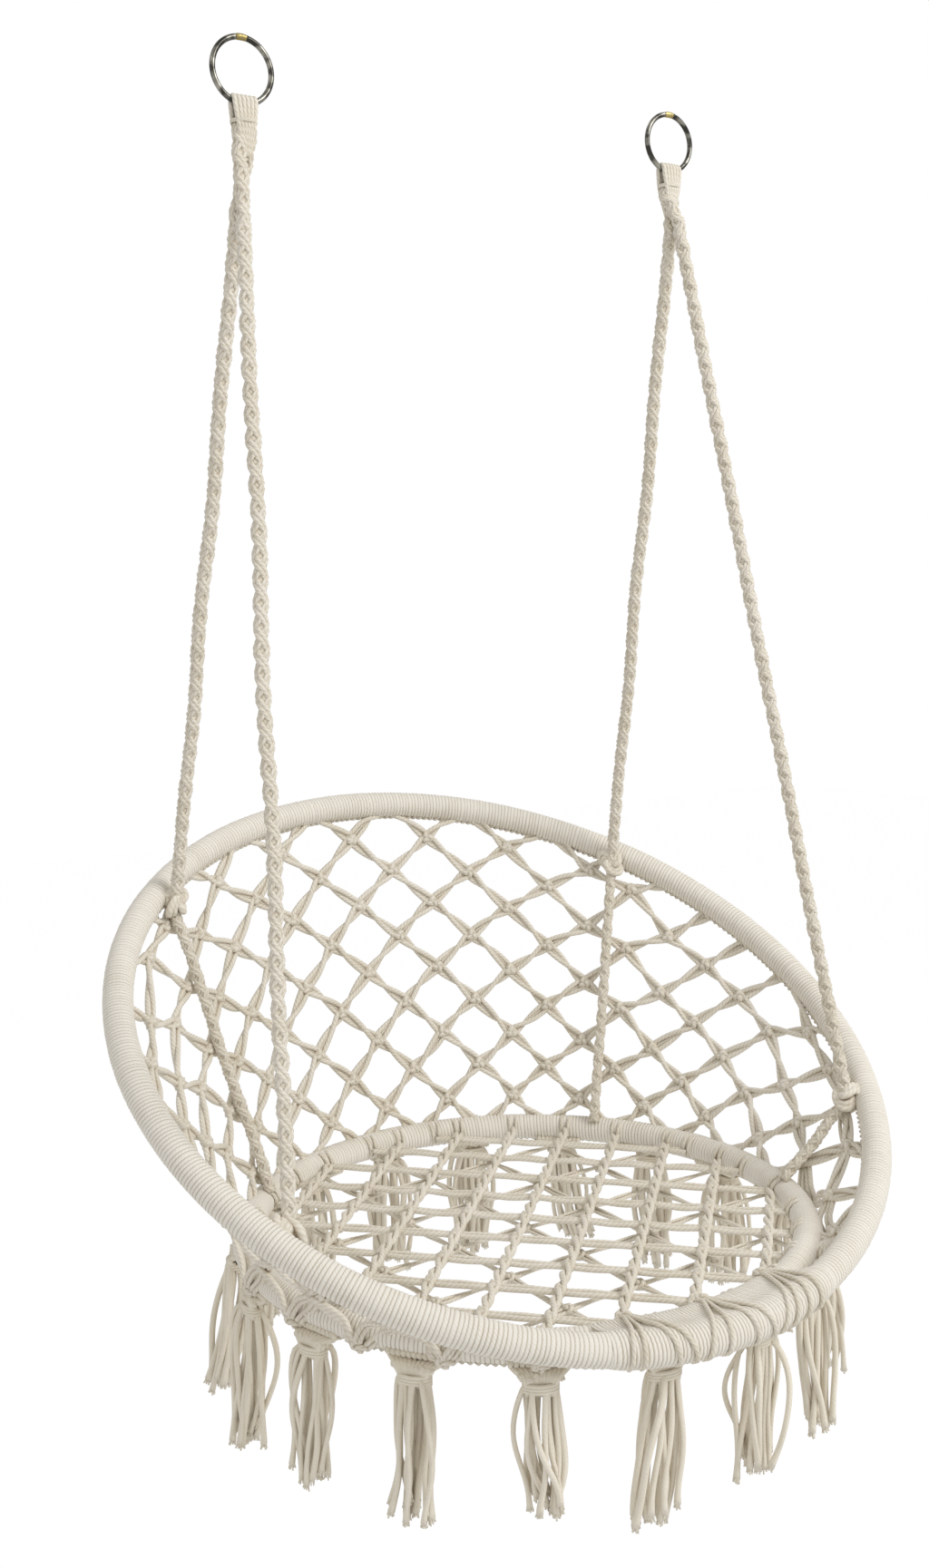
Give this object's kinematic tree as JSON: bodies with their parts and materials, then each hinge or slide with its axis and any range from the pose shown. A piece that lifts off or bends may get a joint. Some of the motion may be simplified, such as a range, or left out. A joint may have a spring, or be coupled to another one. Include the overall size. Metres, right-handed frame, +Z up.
{
  "type": "hammock chair",
  "caption": "Hanging hammock chair: two rope-wrapped hoops, a knotted net back and seat, fringe tassels, and ropes to two rings.",
  "frame": {"origin": "midway between the undersides of the tops of the two hanging rings, where the hooks bear", "axes": "+Z up, -Y the chair's front, +X the sitter's left seen from behind the chair's back, so to the right for a viewer who looks along +Y"},
  "size_m": [0.83, 0.7319, 1.3177],
  "materials": {
    "cotton": "matte undyed cotton cord",
    "hoop_tube": "plain steel tube",
    "ring_steel": "dark polished steel",
    "ring_seam": "brazed seam"
  },
  "bodies": {
    "rings": {"ring_left": "ring_steel", "ring_right": "ring_steel", "ring_seam_left": "ring_seam", "ring_seam_right": "ring_seam"},
    "chair": {"back_hoop_tube": "hoop_tube", "back_hoop_wrap": "cotton", "back_net_1": "cotton", "back_net_2": "cotton", "back_net_3": "cotton", "back_net_4": "cotton", "back_net_5": "cotton", "back_net_6": "cotton", "back_net_7": "cotton", "back_net_8": "cotton", "back_net_9": "cotton", "back_net_10": "cotton", "front_lashing": "cotton", "rope_eye_left": "cotton", "rope_front_left": "cotton", "rope_rear_left": "cotton", "braid_front_left": "cotton", "braid_rear_left": "cotton", "rope_eye_right": "cotton", "rope_front_right": "cotton", "rope_rear_right": "cotton", "braid_front_right": "cotton", "braid_rear_right": "cotton"},
    "seat": {"seat_hoop_tube": "hoop_tube", "seat_hoop_wrap": "cotton", "seat_net": "cotton", "seat_net_under": "cotton", "tassel_1": "cotton", "tassel_2": "cotton", "tassel_3": "cotton", "tassel_4": "cotton", "tassel_5": "cotton", "tassel_6": "cotton", "tassel_7": "cotton", "tassel_8": "cotton", "tassel_9": "cotton", "tassel_10": "cotton", "tassel_11": "cotton", "tassel_12": "cotton", "tassel_13": "cotton", "tassel_14": "cotton", "tassel_15": "cotton", "tassel_16": "cotton", "tassel_17": "cotton"}
  },
  "joints": [
    {"name": "swing", "type": "hinge", "parent": "rings", "child": "chair", "pos_m": [0, 0, -0.0543], "axis": [1, 0, 0], "range_deg": [-30, 30]},
    {"name": "seat_fold", "type": "hinge", "parent": "chair", "child": "seat", "pos_m": [0, -0.316, -1.139], "axis": [1, 0, 0], "range_deg": [0, 28], "deforming": ["back_net_1", "back_net_2", "back_net_3", "back_net_4", "back_net_5", "back_net_6", "back_net_7", "back_net_8", "back_net_9", "back_net_10", "front_lashing", "braid_front_left", "braid_front_right", "braid_rear_left", "braid_rear_right"]}
  ]
}
